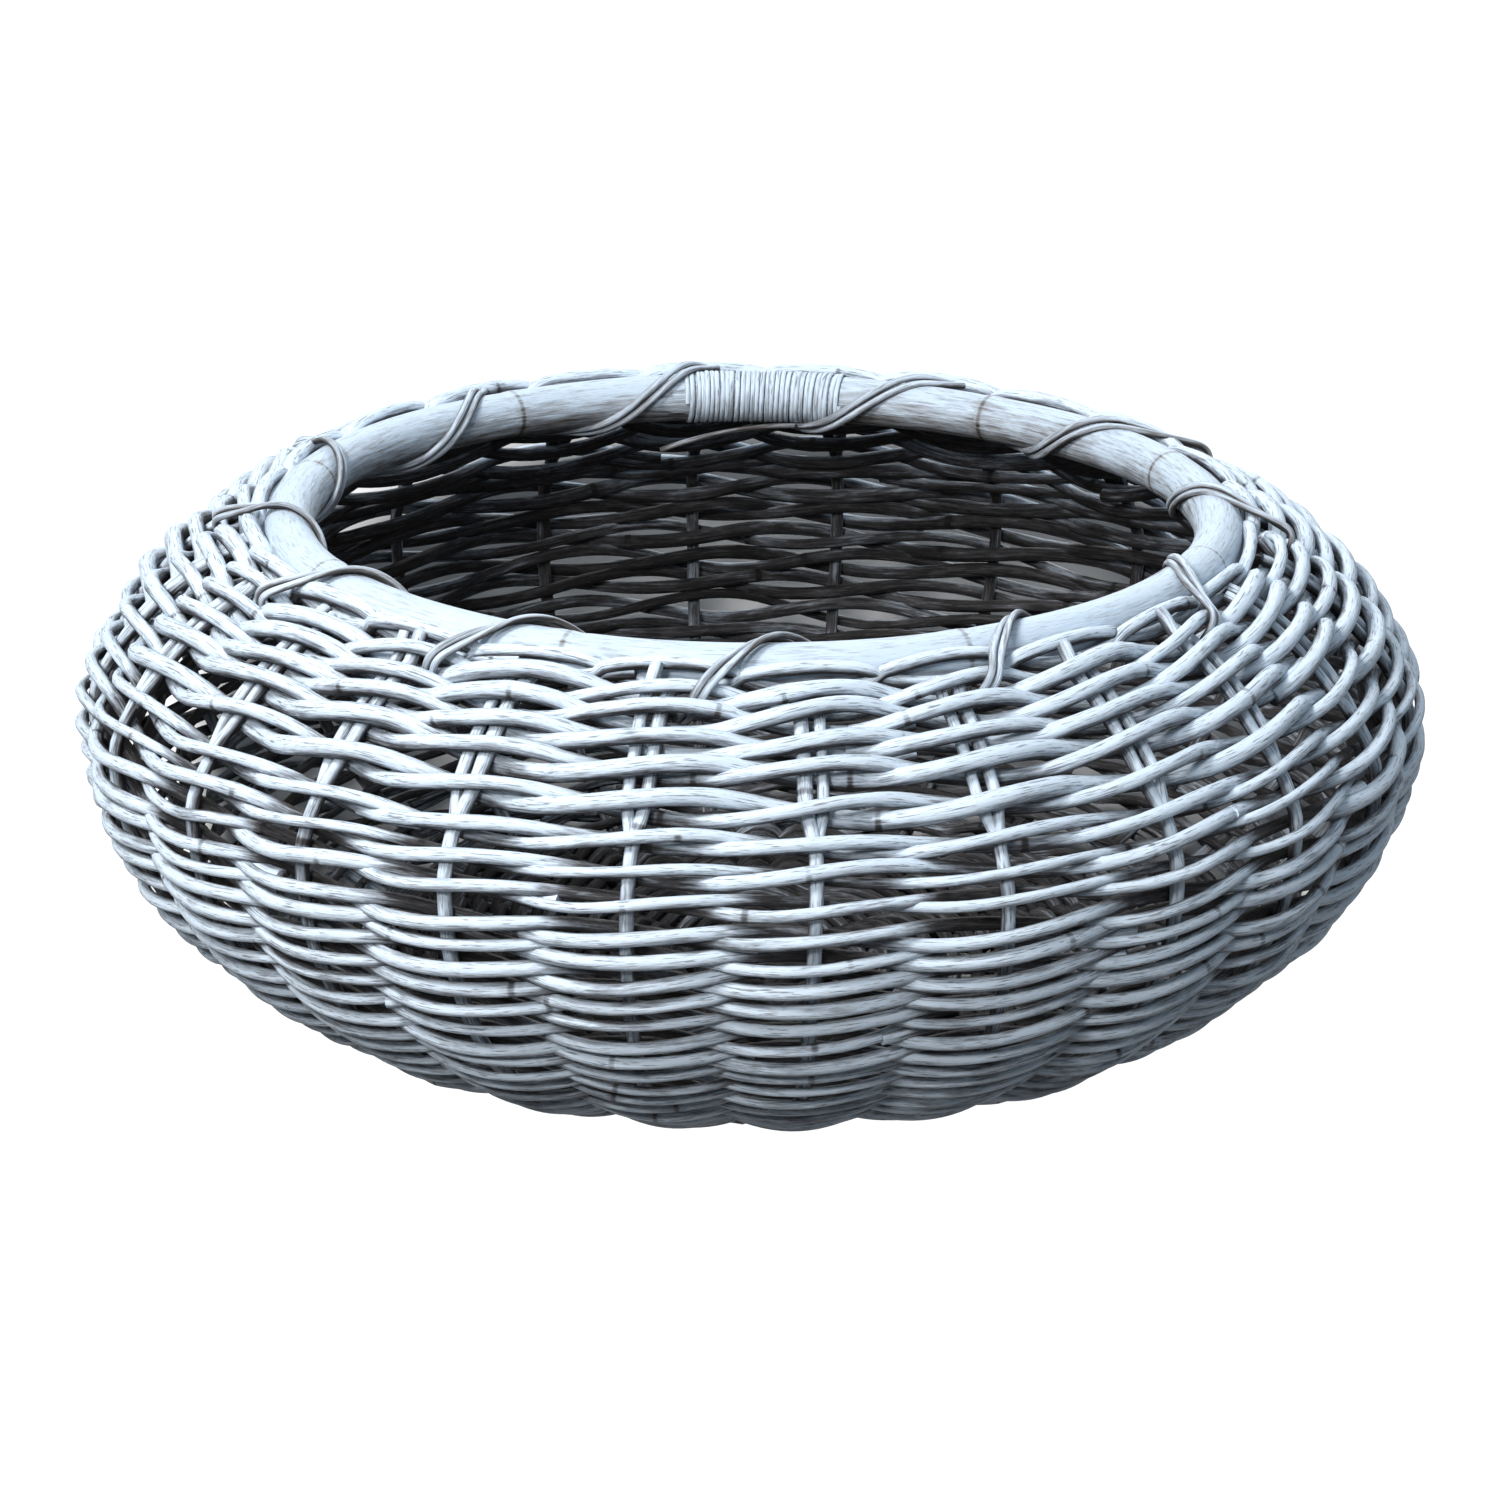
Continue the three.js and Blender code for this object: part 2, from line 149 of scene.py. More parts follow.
def onWall(length, reach, angle):
    # a place on the real, slightly uneven wall, and its outward direction
    length, reach, angle = np.broadcast_arrays(length, reach, np.asarray(angle, float))
    free = smoothStep(wall["strayFrom"], wall["strayFull"], length)
    free = free * (1 - smoothStep(wallLength - wall["strayEnd"], wallLength, length))
    moved = length + wall["rise"] * free * riseRipple(angle, length)
    turned = angle + wall["lean"] * free * leanRipple(angle, length)
    centre, forward, outward = wallStation(moved)
    place = centre + outward * (reach + wall["bulge"] * free * bulgeRipple(angle, length))[:, None]
    return around(place, turned), around(outward, turned)


# Rods are swept by Blender's own curves, with grain, wash with painted light and shade, and tint kept on
# their points.

sections = {
    "lump": 0.035,          # how far a rod's section is from round
    "firstTwist": 55,       # how fast the lumps turn along the rod
    "secondTwist": 130,
    "outerBleachAndShade": 0.86,    # the outer side is paler, partly as real bleaching and wash and partly as painted shade on the inner side
    # the upper side is painted lighter and the lower side darker, as painted light and shade
    "upperPaintedLight": 0.5,
    "bleachAndLightShare": 0.45,
}


def makeRod(path, outwards, radii, closed=False, flat=1.0):
    count = len(path)
    return {
        "path": np.asarray(path, float),
        "outwards": np.asarray(outwards, float),
        "radii": np.broadcast_to(np.asarray(radii, float), (count,)).copy(),
        "rings": np.zeros(count),           # 1 at a growth ring
        "bleachAndShade": np.ones(count),           # less where sun and rain hardly reach, and less as painted shade where a rod lies deep or low
        "lump": sections["lump"],
        "flat": flat,
        "closed": closed,
        "tint": chance.random(),
        "offset": chance.uniform(0, 40),    # no two rods share a stretch of grain
    }


def addKnuckles(rod, least, most, swell, halfWidth):
    # the rings where leaves once grew, thicker than the rod between them and with a dark line
    along = alongPath(rod["path"])
    at = chance.uniform(0, most)
    while at < along[-1]:
        nearest = np.argmin(np.abs(along - at))
        near = np.clip(1 - np.abs(along - along[nearest]) / halfWidth, 0, 1)
        rod["radii"] *= 1 + swell * chance.uniform(0.3, 1.3) * near
        rod["rings"][nearest] = 1
        at += chance.uniform(least, most)
    return rod


def sectionDirections(rod):
    # the outward and the sideways direction, square to the rod
    forward = np.gradient(rod["path"], axis=0)
    forward /= np.linalg.norm(forward, axis=1)[:, None]
    outward = rod["outwards"] - forward * np.sum(rod["outwards"] * forward, axis=1)[:, None]
    outward /= np.linalg.norm(outward, axis=1)[:, None]
    return outward, np.cross(outward, forward)


def sweepRods(name, rods, sides):
    # plain round rods as one open mesh, a ring of points for each point of a path
    curve = bpy.data.curves.new(name, "CURVE")
    curve.dimensions = "3D"
    curve.bevel_depth = 1
    curve.bevel_resolution = (sides - 4) // 2
    curve.use_fill_caps = False
    for rod in rods:
        spline = curve.splines.new("POLY")
        count = len(rod["path"])
        spline.points.add(count - 1)
        spline.points.foreach_set("co", np.hstack([rod["path"], np.ones((count, 1))]).ravel())
        spline.points.foreach_set("radius", rod["radii"])
        spline.use_cyclic_u = rod["closed"]
    carrier = bpy.data.objects.new(name + "Path", curve)
    bpy.context.scene.collection.objects.link(carrier)
    bpy.context.view_layer.update()
    mesh = bpy.data.meshes.new_from_object(carrier)
    bpy.data.objects.remove(carrier)
    bpy.data.curves.remove(curve)
    for layer in list(mesh.uv_layers):
        mesh.uv_layers.remove(layer)
    return mesh


def shapeSections(mesh, rods, sides):
    # flattens and roughens the sections, and notes the grain and the wash, with its painted light and shade,
    # on the points
    points = np.empty(len(mesh.vertices) * 3)
    mesh.vertices.foreach_get("co", points)
    points = points.reshape(-1, 3)
    directions = [sectionDirections(rod) for rod in rods]
    centres = np.repeat(np.vstack([rod["path"] for rod in rods]), sides, axis=0)
    outwards = np.repeat(np.vstack([outward for outward, _ in directions]), sides, axis=0)
    sideways = np.repeat(np.vstack([sideway for _, sideway in directions]), sides, axis=0)

    def overPoints(values):
        # each rod's value, or its values along its path, for every point of the sweep
        rows = [np.broadcast_to(value, len(rod["path"])) for value, rod in zip(values, rods)]
        return np.repeat(np.concatenate(rows), sides)

    along = overPoints([alongPath(rod["path"]) + rod["offset"] for rod in rods])
    kept = ("radii", "flat", "tint", "rings", "bleachAndShade", "lump")
    radii, flats, tints, rings, bleachAndShade, lumps = (overPoints([rod[key] for rod in rods]) for key in kept)
    out = np.sum((points - centres) * outwards, axis=1)
    side = np.sum((points - centres) * sideways, axis=1)
    forwardPart = (points - centres) - outwards * out[:, None] - sideways * side[:, None]
    facing = np.arctan2(side, out)
    firstLumps = np.sin(2 * facing + sections["firstTwist"] * along)
    secondLumps = np.sin(3 * facing - sections["secondTwist"] * along)
    lumpy = 1 + lumps * (firstLumps + secondLumps)
    out, side = out * lumpy * flats, side * lumpy
    points = centres + outwards * out[:, None] + sideways * side[:, None] + forwardPart
    # paler on the outer and upper sides: partly real wash, and painted light on top with painted shade on
    # the inner and lower sides
    up = outwards[:, 2] * out + sideways[:, 2] * side
    weatheredAndLit = (sections["outerBleachAndShade"] * out + sections["upperPaintedLight"] * up) / radii
    washAndLight = (1 - sections["bleachAndLightShare"] + sections["bleachAndLightShare"] * weatheredAndLit) * bleachAndShade
    mesh.vertices.foreach_set("co", points.ravel())
    grain = mesh.attributes.new("grain", "FLOAT_VECTOR", "POINT")
    grain.data.foreach_set("vector", np.stack([along, out, side], axis=1).astype(np.float32).ravel())
    for label, values in (("washAndLight", washAndLight), ("tint", tints), ("ring", rings)):
        marks = mesh.attributes.new(label, "FLOAT", "POINT")
        marks.data.foreach_set("value", values.astype(np.float32))


def closeEnds(mesh):
    # smooth rods with flat, sharp-edged cut ends
    shape = bmesh.new()
    shape.from_mesh(mesh)
    for face in shape.faces:
        face.smooth = True
    ends = bmesh.ops.holes_fill(shape, edges=[edge for edge in shape.edges if edge.is_boundary], sides=0)
    for face in ends["faces"]:
        face.smooth = False
        for edge in face.edges:
            edge.smooth = False
    bmesh.ops.recalc_face_normals(shape, faces=shape.faces)
    shape.to_mesh(mesh)
    shape.free()


def makePiece(name, rods, sides, material, nodes):
    mesh = sweepRods(name, rods, sides)
    shapeSections(mesh, rods, sides)
    closeEnds(mesh)
    mesh.materials.clear()
    mesh.materials.append(material)
    piece = bpy.data.objects.new(name, mesh)
    bpy.context.scene.collection.objects.link(piece)
    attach(piece, "root")
    if nodes:
        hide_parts(*nodes)
    return piece


# Greywashed rattan, with its streaks along each rod's own grain.

# each pattern's scale along and across the rod, its detail and its roughness
patterns = {
    "streaks": ((42, 620, 620), 4, 0.66),
    "fibres": ((110, 2600, 2600), 3, 0.6),
    "patches": ((48, 190, 190), 4, 0.62),
    "drifts": ((9, 40, 40), 2, 0.5),
    "flecks": ((95, 1500, 1500), 2, 0.6),
}


def washedRattan(name, look):
    material = bpy.data.materials.new(name)
    material.use_nodes = True
    tree = material.node_tree
    shader = tree.nodes["Principled BSDF"]
    link = tree.links.new

    def add(kind, **values):
        node = tree.nodes.new(kind)
        for key, value in values.items():
            setattr(node, key, value)
        return node

    def attribute(label):
        return add("ShaderNodeAttribute", attribute_name=label)

    def noise(source, stretch, detail, roughness):
        mapping = add("ShaderNodeMapping")
        mapping.inputs["Scale"].default_value = stretch
        link(source, mapping.inputs["Vector"])
        texture = add("ShaderNodeTexNoise")
        texture.inputs["Scale"].default_value = 1
        texture.inputs["Detail"].default_value = detail
        texture.inputs["Roughness"].default_value = roughness
        link(mapping.outputs["Vector"], texture.inputs["Vector"])
        return texture.outputs["Fac"]

    def calculate(operation, first, second=None, clamp=False):
        node = add("ShaderNodeMath", operation=operation, use_clamp=clamp)
        for socket, value in zip(node.inputs, (first, second)):
            if isinstance(value, (int, float)):
                socket.default_value = value
            elif value is not None:
                link(value, socket)
        return node.outputs[0]

    def centred(source, amount):
        # a pattern that adds as much as it takes away
        return calculate("MULTIPLY", calculate("SUBTRACT", source, 0.5), amount)

    grain = attribute("grain").outputs["Vector"]
    streaks, fibres, patches, drifts, flecks = (noise(grain, *pattern) for pattern in patterns.values())
    washAndLight = attribute("washAndLight").outputs["Fac"]
    tint = attribute("tint").outputs["Fac"]
    ring = attribute("ring").outputs["Fac"]

    # how much wash is left, with painted light and shade: most on the outer and upper side, least on the
    # inner and lower side; less in patches, streaks and at the rings
    faced = calculate("POWER", washAndLight, look["washAndLightCurve"])
    coverAndLight = calculate("ADD", calculate("MULTIPLY", faced, look["washAndLightByFacing"]), look["washEverywhere"])
    coverAndLight = calculate("ADD", coverAndLight, centred(patches, look["patchiness"]))
    coverAndLight = calculate("ADD", coverAndLight, centred(drifts, look["driftiness"]))
    coverAndLight = calculate("ADD", coverAndLight, centred(streaks, look["streakiness"]))
    coverAndLight = calculate("ADD", coverAndLight, centred(tint, look["rodToRod"]))
    line = add("ShaderNodeMapRange", interpolation_type="SMOOTHSTEP")
    line.inputs["From Min"].default_value = look["ringLineFrom"]
    line.inputs["From Max"].default_value = look["ringLineFull"]
    link(ring, line.inputs["Value"])
    marked = calculate("ADD", line.outputs["Result"], calculate("MULTIPLY", ring, look["ringHalo"]))
    ringWear = calculate("MULTIPLY", patches, look["ringWear"])
    coverAndLight = calculate("SUBTRACT", coverAndLight, calculate("MULTIPLY", marked, ringWear), clamp=True)
    ramp = add("ShaderNodeValToRGB")
    ramp.color_ramp.elements[0].position = 0
    ramp.color_ramp.elements[0].color = (*look["stainAndShade"], 1)
    ramp.color_ramp.elements[1].position = look["paleFrom"]
    ramp.color_ramp.elements[1].color = (*look["pale"], 1)
    ramp.color_ramp.elements.new(look["bareAt"]).color = (*look["bare"], 1)
    ramp.color_ramp.elements.new(look["greyAt"]).color = (*look["grey"], 1)
    link(coverAndLight, ramp.inputs["Fac"])

    # specks where the wash has come off
    worn = add("ShaderNodeMapRange", interpolation_type="SMOOTHSTEP")
    worn.inputs["From Min"].default_value = look["fleckFrom"]
    worn.inputs["From Max"].default_value = look["fleckFull"]
    link(flecks, worn.inputs["Value"])
    flecked = add("ShaderNodeMix", data_type="RGBA", blend_type="MIX")
    link(calculate("MULTIPLY", worn.outputs["Result"], look["fleckDepth"]), flecked.inputs["Factor"])
    link(ramp.outputs["Color"], flecked.inputs["A"])
    flecked.inputs["B"].default_value = (*look["bare"], 1)
    link(flecked.outputs["Result"], shader.inputs["Base Color"])

    rough = add("ShaderNodeMapRange")
    rough.inputs["To Min"].default_value = look["roughLeast"]
    rough.inputs["To Max"].default_value = look["roughMost"]
    link(streaks, rough.inputs["Value"])
    link(rough.outputs["Result"], shader.inputs["Roughness"])
    shader.inputs["Specular IOR Level"].default_value = look["specular"]

    fineRelief = calculate("MULTIPLY", fibres, look["fibreRelief"])
    height = calculate("ADD", fineRelief, calculate("MULTIPLY", streaks, look["streakRelief"]))
    height = calculate("ADD", height, calculate("MULTIPLY", patches, look["patchRelief"]))
    bump = add("ShaderNodeBump")
    bump.inputs["Strength"].default_value = look["bump"]
    bump.inputs["Distance"].default_value = look["bumpDepth"]
    link(height, bump.inputs["Height"])
    link(bump.outputs["Normal"], shader.inputs["Normal"])
    return material


weaverLook = {
    "washAndLightByFacing": 1.04,       # wash, and painted light and shade, on the outer and upper side
    "washAndLightCurve": 1.4,           # how fast it fades towards the other side, which is painted shade
    "washEverywhere": 0.03,
    "patchiness": 1.0,
    "driftiness": 0.5,
    "streakiness": 1.4,
    "rodToRod": 0.28,           # how much whole rods differ
    "ringWear": 0.55,           # how dark the growth rings are
    "ringLineFrom": 0.62,
    "ringLineFull": 0.9,
    "ringHalo": 0.4,
    # the darkest colour: the rattan's own stain, and painted shade on the inner and lower sides
    "stainAndShade": (0.012, 0.011, 0.011),
    "bare": (0.068, 0.066, 0.070),
    "grey": (0.35, 0.39, 0.44),
    "pale": (0.72, 0.815, 0.91),
    "bareAt": 0.28,             # how much wash makes each colour
    "greyAt": 0.58,
    "paleFrom": 0.86,
    "fleckFrom": 0.545,
    "fleckFull": 0.665,
    "fleckDepth": 0.68,
    "roughLeast": 0.55,
    "roughMost": 0.9,
    "specular": 0.3,
    "bump": 0.9,
    "bumpDepth": 1 * mm,
    "fibreRelief": 0.35,
    "streakRelief": 0.4,
    "patchRelief": 0.9,
}
stakeLook = dict(weaverLook, washAndLightByFacing=0.9)
poleLook = dict(
    weaverLook, washAndLightCurve=0.85, washAndLightByFacing=0.55, washEverywhere=0.33, patchiness=0.9, driftiness=0.5,
    streakiness=1.5, rodToRod=0.0, pale=(0.62, 0.725, 0.83), grey=(0.42, 0.46, 0.51),
    bare=(0.165, 0.153, 0.145), fleckDepth=0.4, specular=0.35, roughLeast=0.5, roughMost=0.85)
caneLook = dict(
    weaverLook, washAndLightByFacing=0.78, washAndLightCurve=1.2, washEverywhere=0.04, patchiness=0.7, streakiness=1.3,
    pale=(0.70, 0.80, 0.90), grey=(0.41, 0.45, 0.50), bare=(0.11, 0.10, 0.095))
bindingLook = dict(caneLook, washEverywhere=0.36, streakiness=0.9, patchiness=1.1)

weaverWash = washedRattan("weaverWash", weaverLook)
stakeWash = washedRattan("stakeWash", stakeLook)
poleWash = washedRattan("poleWash", poleLook)
caneWash = washedRattan("caneWash", caneLook)
bindingWash = washedRattan("bindingWash", bindingLook)
print("materials made")

# Wall weavers: two rods twine round the stakes in each row.

weaving = {
    "pointsPerPost": 14,
    "sides": 10,
    "shoulderDiameter": 7.4 * mm,
    "thickAbove": 230,          # the rows above this one, in mm, have the shoulder's rods
    "bellyDiameter": 5.8 * mm,
    "lowThinning": 0.34,        # the lowest rods are thinner
    "thicknessSpread": 0.12,
    "climbShare": 0.44,         # how far a weaver rises and falls, of its diameter
    "fullness": 0.86,           # below 1 the lobes over the stakes are fuller
    "jitter": 1.1 * mm,
    "tuck": 4.2 * mm,           # how far a rod's last end goes in behind the next rod
    "tuckFrom": 0.75,           # where that starts and is full, in stakes before the end
    "tuckFull": 0.1,
    "topFrom": 293 * mm,        # the top row lies above this
    "topSwing": 0.62,           # its swing and its climb, of the other rows'
    "topClimb": 0.35,
    "topFullness": 0.4,
    "topLift": 5.8 * mm,        # how far it rides up on the pole at the back
    "frontRide": 2.2 * mm,      # how far the top row's outer strand climbs on to the pole at the front
    "backSwell": 0.06,          # how much thicker the rods are at the back
    "backClimb": 0.25,          # how much more they climb there
    "knuckles": (150 * mm, 340 * mm, 0.10, 6.5 * mm),   # least and most apart, swell and half width
    "spreadLimit": 1.6,
    "taper": 0.06,
    "unevenness": 0.028,
    "leastBleachAndShade": 0.22,        # of the inner strand on the belly, painted darker as shade between the outer strands
    "moreBleachAndShade": 0.58,         # what it gains up to the shoulder
    "bleachAndShadeFrom": 185 * mm,
    "bleachAndShadeFull": 262 * mm,
    "outsideStarts": 0.35,      # the share of rods that start in sight
    "startOutside": 0.42,       # where they start, in stakes, and where the others do
    "startInside": 1.3,
    "startSpread": 0.1,
    "singleRods": 0.55,         # the share of strands that one rod makes alone
    "shortestRun": 4,           # half the stakes that the first of two rods passes
    "longestRun": 8,
}
# one loose place of the wall
hollow = {
    "angle": math.radians(-142),
    "width": math.radians(15),
    "length": 222 * mm,
    "height": 38 * mm,
    "parting": 9 * mm,
    "depth": 3.4 * mm,
}
# rows of weaving, from the rim down: where each one lies along the stakes in mm, measured from the
# base's edge, and how far in mm its outer strand rides above its inner one on the back half
bands = {
    "borderWeave": {
        "node": "border_band",
        "rows": [(300.2, 0), (288.5, 0)],
    },
    "shoulderWeave": {
        "node": "shoulder_band",
        "rows": [(277, 0), (264.5, 0), (251.7, 0), (235.3, 0)],
    },
    "upperBellyWeave": {
        "node": "upper_belly_band",
        "rows": [(219.7, 1), (207.3, -7), (195.6, 1.5), (181.3, -7), (172.1, 3), (160.6, -6)],
    },
    "lowerBellyWeave": {
        "node": "lower_belly_band",
        "rows": [(150.6, 5), (139.7, -5), (126.5, 6), (114.7, -3), (104.3, 7), (91.2, -2), (78.4, 6)],
    },
    "baseTurnWeave": {
        "node": "base_turn_band",
        "rows": [(65, 0), (51.5, 0), (38, 0), (24.5, 0), (11, 0)],
    },
}


def wobble(k, amount):
    # small bends of a single rod
    total = np.zeros_like(k)
    for rate in (0.9, 1.7, 2.9):
        total += np.sin(rate * k + chance.uniform(0, 2 * math.pi)) / 1.7
    return amount * total


def hollowShift(angle, length):
    # the rows stand apart round the loose place
    near = np.exp(-angleFrom(angle, hollow["angle"]) ** 2 / hollow["width"] ** 2)
    above = length - hollow["length"]
    apart = np.tanh(above / hollow["parting"]) * math.exp(-(above / hollow["height"]) ** 2)
    return hollow["depth"] * near * apart


bellyRows = [row for name in ("upperBellyWeave", "lowerBellyWeave") for row, split in bands[name]["rows"]]


def evenShift(length):
    # the belly's rows lie evenly on the back half, and as the photograph shows them on the front half
    if length / mm not in bellyRows:
        return 0.0
    index = bellyRows.index(length / mm)
    return np.linspace(bellyRows[0], bellyRows[-1], len(bellyRows))[index] * mm - length


def weaverRod(length, split, strand, diameter, start, end):
    # k counts the stakes that the rod passes, from the first one on
    k = np.arange(start, end, 1 / weaving["pointsPerPost"])
    turn = math.pi * (k + strand)
    amplitude = (wall["stakeDiameter"] + diameter) / 2
    swing = np.cos(turn)
    top = length > weaving["topFrom"]
    reach = amplitude * np.sign(swing) * np.abs(swing) ** weaving["topFullness" if top else "fullness"]
    climb = weaving["climbShare"] * diameter * np.sin(turn) * (weaving["topClimb"] if top else 1)
    angle = firstStakeAngle + k * spacing
    backward = np.sin(angle)        # 1 at the back, -1 at the front
    back = smoothStep(-0.35, 0.35, backward)
    climb = climb * (1 + weaving["backClimb"] * back) + back * (split * mm / 2 * swing + evenShift(length))
    if top:     # the top row leans on the pole
        reach = weaving["topSwing"] * reach + weaving["topLift"] * smoothStep(-0.4, 0.9, backward)
        ride = weaving["frontRide"] * (1 - smoothStep(-0.8, 0, backward)) * (0.5 + 0.5 * swing)
        reach = reach + ride
        climb = climb + ride
    reach = reach + wobble(k, 0.5 * weaving["jitter"])
    climb = climb + wobble(k, weaving["jitter"])
    reach = reach - weaving["tuck"] * smoothStep(end - weaving["tuckFrom"], end - weaving["tuckFull"], k)
    path, outwards = onWall(length + climb + hollowShift(angle, length), reach, angle)
    limit = weaving["spreadLimit"]
    spread = max(-limit, min(limit, chance.gauss(0, 1)))
    thickness = diameter * (1 + weaving["thicknessSpread"] * spread)
    taper = 1 + chance.uniform(-weaving["taper"], weaving["taper"]) * np.linspace(-1, 1, len(k))
    taper = taper + wobble(k, weaving["unevenness"])
    rod = makeRod(path, outwards, 0.5 * thickness * taper * (1 + weaving["backSwell"] * back))
    # the inner strand is painted darker, as painted shade between the outer strands and partly as less
    # bleaching; high on the wall it is bleached nearly as much as the outer one
    high = smoothStep(weaving["bleachAndShadeFrom"], weaving["bleachAndShadeFull"], length)
    least = weaving["leastBleachAndShade"] + weaving["moreBleachAndShade"] * high
    rod["bleachAndShade"] = least + (1 - least) * smoothStep(-0.9, 0.3, swing)
    return addKnuckles(rod, *weaving["knuckles"])


def weaveRow(length, split, diameter):
    rods = []
    for strand in (0, 1):
        # a new rod starts outside, between two stakes, or out of sight on the inside
        outside = chance.random() < weaving["outsideStarts"]
        start = 2 * chance.randrange(wall["stakes"] // 2) + strand
        start = start + weaving["startOutside" if outside else "startInside"]
        start = start + chance.uniform(-weaving["startSpread"], weaving["startSpread"])
        joins = [start]
        if chance.random() >= weaving["singleRods"]:
            joins.append(start + 2 * chance.randint(weaving["shortestRun"], weaving["longestRun"]))
        ends = joins[1:] + [joins[0] + wall["stakes"]]
        for begin, finish in zip(joins, ends):
            rods.append(weaverRod(length, split, strand, diameter, begin, finish + 0.5))
    return rods


for name, band in bands.items():
    rods = []
    for row, split in band["rows"]:
        low = 1 - smoothStep(60, 165, row)
        diameter = weaving["bellyDiameter"] * (1 - weaving["lowThinning"] * low)
        if row > weaving["thickAbove"]:
            diameter = weaving["shoulderDiameter"]
        rods += weaveRow(row * mm, split, diameter)
    makePiece(name, rods, weaving["sides"], weaverWash, [band["node"]])
print("wall woven")

# Stakes, and the thinner bye-stakes beside them on the shoulder.

uprights = {
    "sides": 12,
    "step": 5.5 * mm,
    "byeDiameter": 5.2 * mm,
    "rootRadius": 112 * mm,
    "pairSpacing": 7.6 * mm,    # centres of a stake and its bye-stake
    "pairFrom": 214 * mm,
    "pairFull": 240 * mm,
    "tipFrom": 284 * mm,        # where the cut tips bend out along the pole
    "tipRise": 10.5 * mm,
    "sway": 0.35 * mm,
    "swayRate": 45,
    "showing": 0.5,             # the share of stakes whose tips show beside the pole
    "byeShowing": 0.35,
    "thinnest": 0.93,
    "thickest": 1.07,
    "knuckles": (120 * mm, 260 * mm, 0.08, 6 * mm),
}


def upright(index, shift, start, end, tip, diameter):
    lengths = np.arange(start, end + uprights["step"], uprights["step"])
    lengths[-1] = end
    centre, _, _ = wallStation(lengths)
    beside = shift * smoothStep(uprights["pairFrom"], uprights["pairFull"], lengths)
    angle = firstStakeAngle + index * spacing + beside / centre[:, 0]
    reach = tip * smoothStep(uprights["tipFrom"], wallLength, lengths)
    path, outwards = onWall(lengths, reach, angle)
    along = alongPath(path)
    sway = uprights["sway"] * np.sin(along * uprights["swayRate"] + chance.uniform(0, 6.3))
    path = path + outwards * sway[:, None]
    thickness = chance.uniform(uprights["thinnest"], uprights["thickest"])
    return addKnuckles(makeRod(path, outwards, diameter / 2 * thickness), *uprights["knuckles"])


byeRods = []
for index in range(wall["stakes"]):
    hand = chance.choice((-1, 1))
    shift = hand * uprights["pairSpacing"] / 2
    shows = chance.random() < uprights["showing"]
    tip = uprights["tipRise"] * chance.uniform(0.75, 1.1) if shows else 0.0
    end = wallLength - chance.uniform(3, 6 if shows else 12) * mm
    root = uprights["rootRadius"] - wall["baseRadius"]
    stake = upright(index, shift, root, end, tip, wall["stakeDiameter"])
    makePiece(f"stake{index + 1:02d}", [stake], uprights["sides"], stakeWash,
              [f"stake_{index + 1:02d}"])
    byeShows = chance.random() < uprights["byeShowing"]
    byeTip = uprights["tipRise"] * chance.uniform(0.6, 1.0) if byeShows else 0.0
    byeStart = uprights["pairFrom"] + chance.uniform(-6, 6) * mm
    byeEnd = wallLength - chance.uniform(3, 10) * mm
    byeRods.append(upright(index, -shift, byeStart, byeEnd, byeTip, uprights["byeDiameter"]))
makePiece("byeStakes", byeRods, uprights["sides"], stakeWash, [])
print("stakes set")

# Base: six sticks, three through three, and rows of pairing round them.

base = {
    "middle": 9.1 * mm,
    "stickDiameter": 6.5 * mm,
    "stickReach": 165 * mm,
    "stickGap": 0.3 * mm,
    "spokeAngle": math.radians(30),
    "slathHalf": 20 * mm,
    "levelDrop": 3.4 * mm,      # the sticks cross over each other and level out further on
    "levelFrom": 14 * mm,
    "levelFull": 36 * mm,
    "knuckles": (100 * mm, 200 * mm, 0.07, 6 * mm),
    "weaverDiameter": 5.8 * mm,
    "swing": 6.05 * mm,
    "firstRow": 29 * mm,
    "lastRow": 167 * mm,
    "rows": 14,
    "climbShare": 0.42,
    "jitter": 0.4 * mm,
    "innerPoints": 12,          # from one post to the next
    "outerPoints": 5,
    "stakesFrom": 113 * mm,
    "bleachAndShade": 0.3,              # little sun has reached the base, and it is painted darker as shade inside the basket
    "sides": 8,
    "stickPoints": 26,          # from the bend to the tip
    "stickSides": 12,
}


def stickRod(level, place):
    spread = base["spokeAngle"] * place
    pitch = base["stickDiameter"] + base["stickGap"]
    reach = base["stickReach"]
    bend = np.array([base["slathHalf"], place * pitch])
    tip = np.array([reach * math.cos(spread), reach * math.sin(spread)])
    shares = np.linspace(0, 1, base["stickPoints"])
    half = [bend * (0, 1)] + [bend + (tip - bend) * share for share in shares]
    flat = np.array([point * (-1, 1) for point in half[:0:-1]] + half)
    for _ in range(3):      # ease the bend
        flat[1:-1] = (flat[:-2] + 2 * flat[1:-1] + flat[2:]) / 4
    away = np.linalg.norm(flat, axis=1)
    crossing = 1 - smoothStep(base["levelFrom"], base["levelFull"], away)
    height = base["middle"] + level * base["levelDrop"] * crossing
    if level > 0:
        flat = np.stack([-flat[:, 1], flat[:, 0]], axis=1)
    path = np.column_stack([flat, height])
    rod = makeRod(path, np.tile((0, 0, -1.0), (len(path), 1)), base["stickDiameter"] / 2)
    # painted shade on the base sticks
    rod["bleachAndShade"] *= base["bleachAndShade"]
    return addKnuckles(rod, *base["knuckles"])


sticks = [(level, place) for level in (-1, 1) for place in (-1, 0, 1)]
for index, (level, place) in enumerate(sticks):
    makePiece(f"baseStick{index + 1}", [stickRod(level, place)], base["stickSides"], stakeWash,
              [f"base_stick_{index + 1}"])


